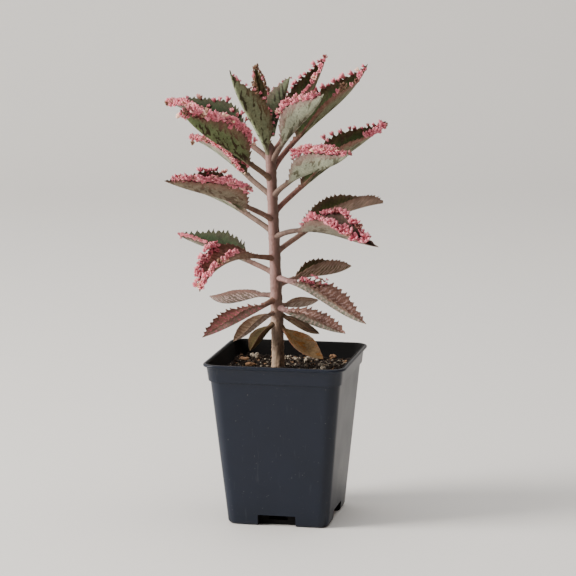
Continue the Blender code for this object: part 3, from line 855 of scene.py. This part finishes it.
def close_tube(rows, loop):
    """Faces of a closed tube: quads between rings and one flat cap at each end."""
    faces = grid_quads(rows, loop, True).tolist()
    faces += [list(range(loop))[::-1], list(range((rows - 1) * loop, rows * loop))]
    return faces


# %% [markdown]
# ## The plantlets
# In each notch of the margin a tiny plant grows: a rosette of spoon-shaped leaves, only a
# few millimetres across, flushed pink with cream tips. One rosette of a few dozen faces
# is copied to hundreds of places along the margins, each with its own turn and size.

# %% Rosette material and shape


def make_plantlet_skin():
    """A tone for each plantlet runs from deep rose to cream, paler towards the tips."""
    made, add, shader = start_material("plantlet_rose")
    tint = add("Attribute", {"attribute_name": "tint"}).outputs["Fac"]
    tip = add("Attribute", {"attribute_name": "tip"}).outputs["Fac"]
    ramp = add("ValToRGB", links={0: tint})
    stops = ramp.color_ramp.elements
    stops[0].color, stops[1].color = linear("#86654f"), linear("#f6e2b4")
    for spot, code in ((0.18, "#b25c69"), (0.42, "#d66b80"), (0.75, "#e88d9e")):
        stops.new(spot).color = linear(code)
    worn = add("Math", {"operation": "MULTIPLY"}, {0: tip, 1: tint})
    pale = add("MapRange", {"To Max": 0.6}, {"Value": worn})
    tone = add("Mix", {7: linear("#f0a9a6")}, {0: pale, 6: ramp})
    finish_material(add, shader, tone, 0.55, 0.3)
    return made


PLANTLET_SKIN = make_plantlet_skin()


def rosette():
    """Five spoons around an axis: each has a foot, two rings of four and a tip."""
    points, faces, tips = [], [], []
    for turn, tilt, reach in ((0.3, 0.85, 1.0), (1.6, 0.65, 0.9), (2.8, 0.8, 1.0),
                              (4.1, 0.6, 0.85), (5.3, 0.75, 0.95)):
        side = np.array([math.cos(turn), math.sin(turn), 0])
        way = side * math.sin(tilt) + np.array([0, 0, 1]) * math.cos(tilt)
        wide = np.array([-side[1], side[0], 0])
        thick = np.cross(way, wide)
        base = len(points)
        points.append(way * 0.02)
        for at, broad, deep in ((0.35, 0.17, 0.10), (0.78, 0.38, 0.15)):
            for a in range(4):
                c, s = math.cos(a * math.pi / 2), math.sin(a * math.pi / 2)
                points.append(way * at * reach + wide * broad * c * reach + thick * deep * s)
        points.append(way * 1.06 * reach)
        tips += [0.0] + [0.3] * 4 + [0.75] * 4 + [1.0]
        for a in range(4):
            b = (a + 1) % 4
            faces += [[base, base + 1 + b, base + 1 + a, base + 1 + a],
                      [base + 1 + a, base + 1 + b, base + 5 + b, base + 5 + a],
                      [base + 5 + a, base + 5 + b, base + 9, base + 9]]
    return np.array(points), np.array(faces), np.array(tips)


ROSETTE, ROSETTE_FACES, ROSETTE_TIPS = rosette()
print("a plantlet has", len(ROSETTE_FACES), "faces")


def unit(vectors):
    """Each vector divided by its length."""
    return vectors / np.linalg.norm(vectors, axis=1)[:, None]


def plantlets_on(name, points, share, up, near_side, near, far, spill, size, shift, spans, seed):
    """Even rows of rosettes along both margins; where they crowd, they pile up and spill in."""
    rng = np.random.default_rng(seed + 400)
    loop = points.shape[1]
    made = []
    for side, crowd, inwards, span in ((near_side, near, 0.4 * spill, spans[0]),
                                       (-near_side, far, spill, spans[1])):
        first, step = (0, 1) if side > 0 else (loop // 2 - 1, -1)
        usable = np.nonzero((share > span[0]) & (share < span[1]))[0]
        count = int(len(usable) * 0.6 / 2.0 * crowd)
        if count < 2:
            continue
        spot = (np.arange(count) + 0.5 + rng.uniform(-0.45, 0.45, count)) / count
        pick = (usable[0] + (usable[-1] - usable[0]) * spot).astype(int)
        inward = rng.random(count) ** 1.3 * inwards
        column = first + step * (inward * loop / 4 * 0.85).astype(int)
        margin = points[pick, column]
        outwards = unit(margin - points[pick, column + 3 * step])
        face = unit(np.cross(points[pick + 1, column] - margin, outwards))
        face *= np.sign((face * up[pick]).sum(1))[:, None]
        layer = rng.random(count) * min(2.2, max(0.0, crowd - 0.8)) * (inward < 0.3)
        grow = size * rng.uniform(0.65, 1.2, count) * np.interp(spot, [0, 0.15, 0.7, 1],
                                                               [0.7, 1.0, 1.0, 0.9])
        lean = np.clip(inward * 2.0, 0, 0.85)[:, None]
        axis = unit((1 - lean) * outwards + lean * face + (0.5 if crowd < 1 else 0.3) * up[pick]
                    + rng.normal(scale=0.24, size=(count, 3)))
        centre = (margin + outwards * (layer * size * 0.55)[:, None]
                  - axis * (0.3 if crowd < 0.8 else 0.12) * size
                  + face * rng.uniform(-0.2, 0.3, count)[:, None] * size)
        helper = unit(np.cross(axis, rng.normal(size=(count, 3))))
        broad, tall = (0.85, 1.9) if crowd < 0.8 and size < 4 else (1.0, 1.1)
        made.append((centre, np.stack([helper * broad, np.cross(axis, helper) * broad,
                                       axis * tall], -1), grow))
    if not made:
        return 0
    centre, frames, grow = (np.concatenate(v) for v in zip(*made))
    spread = np.einsum("nij,vj->nvi", frames, ROSETTE) * grow[:, None, None]
    cloud = (spread + centre[:, None]).reshape(-1, 3)
    offsets = (np.arange(len(centre)) * len(ROSETTE))[:, None, None]
    faces = [[f[0], f[1], f[2]] if f[2] == f[3] else f
             for f in (ROSETTE_FACES[None] + offsets).reshape(-1, 4).tolist()]
    tone = rng.normal(0.43, 0.22, len(centre)) + shift
    tone += 0.5 * (ripple(centre, 9.0, seed + 30) > 1.05) * rng.random(len(centre))
    tint = np.repeat(np.clip(tone, 0, 1), len(ROSETTE))
    finish_piece(name, cloud, faces, PLANTLET_SKIN, [],
                 {"tint": tint, "tip": np.tile(ROSETTE_TIPS, len(centre))})
    return len(centre)


# %% Grow the leaves
total = 0
for number, (leaf, row) in enumerate(LEAVES.items()):
    turn, height, length, rise, half_width, fold, petiole, widest, roll = row[:9]
    skin_name, near, far, spill, size = row[9:]
    old = int(leaf.split("_")[1]) <= OLD_TIERS
    seed = number + 1
    near_side = 1 if abs(turn) > 90 else -1
    points, place, skin, up = leaf_surface(
        turn, height, length, rise, half_width, fold, petiole, widest, roll * near_side,
        TWISTS.get(leaf, 0) * near_side, old,
        TEETH.get(skin_name, OLD_TOOTH) if old else YOUNG_TOOTH,
        0.68 if skin_name in TEETH else 0.8 if old else 1.05, seed)
    flat = points.reshape(-1, 3)
    finish_piece("grown_" + leaf, flat, outward(flat, close_tube(*points.shape[:2])),
                 LEAF_SKINS[skin_name], [leaf],
                 {"place": place.reshape(-1, 3), "skin": skin.reshape(-1, 3)})
    total += plantlets_on("plantlets" + leaf[4:], points, place[:, 0, 1], up, near_side,
                          near, far, spill, size, TONES.get(skin_name, TONE),
                          SPANS.get(leaf, ((0.1, 0.99), (0.1, 0.99))), seed)
print(total, "plantlets")

# %% [markdown]
# ## Floor, light and camera
# The object stands on a plain pale floor that curves up behind it. A large soft light from
# the left and a sky that is pale towards the upper back left and dim towards the lower front
# right give soft, even shade. The camera stands where the photograph was taken: 1.6 m away,
# a little above, with the pot turned 12 degrees.

# %% Floor
CAMERA_TURN, CAMERA_TILT, CAMERA_ROLL = 11.967, 9.986, -0.297
CAMERA_PLACE = (0.3201, -1.5044, 0.4160)
FOCAL_PIXELS, PHOTO_PIXELS, SENSOR = 2500.0, 576, 36.0
# The floor's front edge, flat run, bend, top and half width, and the share of it that is flat
FLOOR_FRONT, FLOOR_RUN, FLOOR_BEND, FLOOR_TOP, FLOOR_HALF = -2600, 4100, 900, 3200, 3500
BEND_AT = 0.6


def make_floor():
    """A sheet that runs flat towards the back and then bends up through a quarter circle."""
    run = np.linspace(0, 1, 60)
    bend = np.radians(90) * np.clip((run - BEND_AT) / (1 - BEND_AT), 0, 1)
    y = FLOOR_FRONT + FLOOR_RUN * np.minimum(run / BEND_AT, 1) + FLOOR_BEND * np.sin(bend)
    z = FLOOR_BEND * (1 - np.cos(bend))
    y, z = np.append(y, y[-1]), np.append(z, FLOOR_TOP)
    x = np.linspace(-FLOOR_HALF, FLOOR_HALF, 3)
    points = np.stack(np.broadcast_arrays(x[None], y[:, None], z[:, None]), -1).reshape(-1, 3)
    made, _, shader = start_material("pale_floor")
    shader.inputs["Base Color"].default_value = linear("#e8e5e0")
    shader.inputs["Roughness"].default_value = 0.85
    mesh = make_mesh("floor", points, grid_quads(len(y), 3, False)[:, ::-1].tolist(), made)
    mesh.transform(Matrix.Rotation(math.radians(CAMERA_TURN), 4, "Z"))
    place_object("floor", mesh)


make_floor()

# %% Lights and camera


def area_light(name, place, target, size, power, code):
    """A flat lamp of a width and a height in metres, turned from its place to its target."""
    data = bpy.data.lights.new(name, "AREA")
    data.shape, data.size, data.size_y = "RECTANGLE", *size
    data.energy, data.color = power, linear(code)[:3]
    lamp = place_object(name, data)
    way = np.array(target) - np.array(place)
    lamp.location = place
    yaw = math.atan2(-way[0], way[1])
    pitch = math.atan2(math.hypot(way[0], way[1]), -way[2])
    lamp.rotation_euler = (pitch, 0, yaw)
    print(name, power, "W")


area_light("large_softbox", (-2.0, -0.85, 0.95), (0, 0, 0.15), (0.9, 1.9), 128, "#fffaf4")
area_light("small_fill", (1.8, 0.3, 0.7), (0, 0, 0.12), (1.2, 1.2), 3, "#ffdcc0")
area_light("ceiling", (0.2, 0.0, 2.4), (0, 0, 0.15), (2.0, 2.0), 30, "#ffffff")
world = bpy.data.worlds.new("pale_sky")
world.use_nodes = True
add = partial(add_node, world.node_tree)
way = add("TexCoord").outputs["Generated"]
aim = add("VectorMath", {"operation": "DOT_PRODUCT", 1: (-0.86, 0.30, 0.41)}, {0: way})
dim = add("MapRange", {"From Min": -0.7, "From Max": 0.9}, {"Value": aim})
tint = add("Mix", {6: linear("#29241f"), 7: linear("#f4f5f8")}, {0: dim})
sky = world.node_tree.nodes["Background"].inputs
world.node_tree.links.new(live(tint), sky[0])
sky[1].default_value = 0.82
bpy.context.scene.world = world

camera = place_object("camera", bpy.data.cameras.new("camera"))
camera.data.sensor_width = SENSOR
camera.data.lens = FOCAL_PIXELS / PHOTO_PIXELS * SENSOR
camera.matrix_world = (
    Matrix.Translation(CAMERA_PLACE) @ Matrix.Rotation(math.radians(CAMERA_TURN), 4, "Z")
    @ Matrix.Rotation(math.radians(90 - CAMERA_TILT), 4, "X")
    @ Matrix.Rotation(math.radians(CAMERA_ROLL), 4, "Z"))
bpy.context.scene.camera = camera
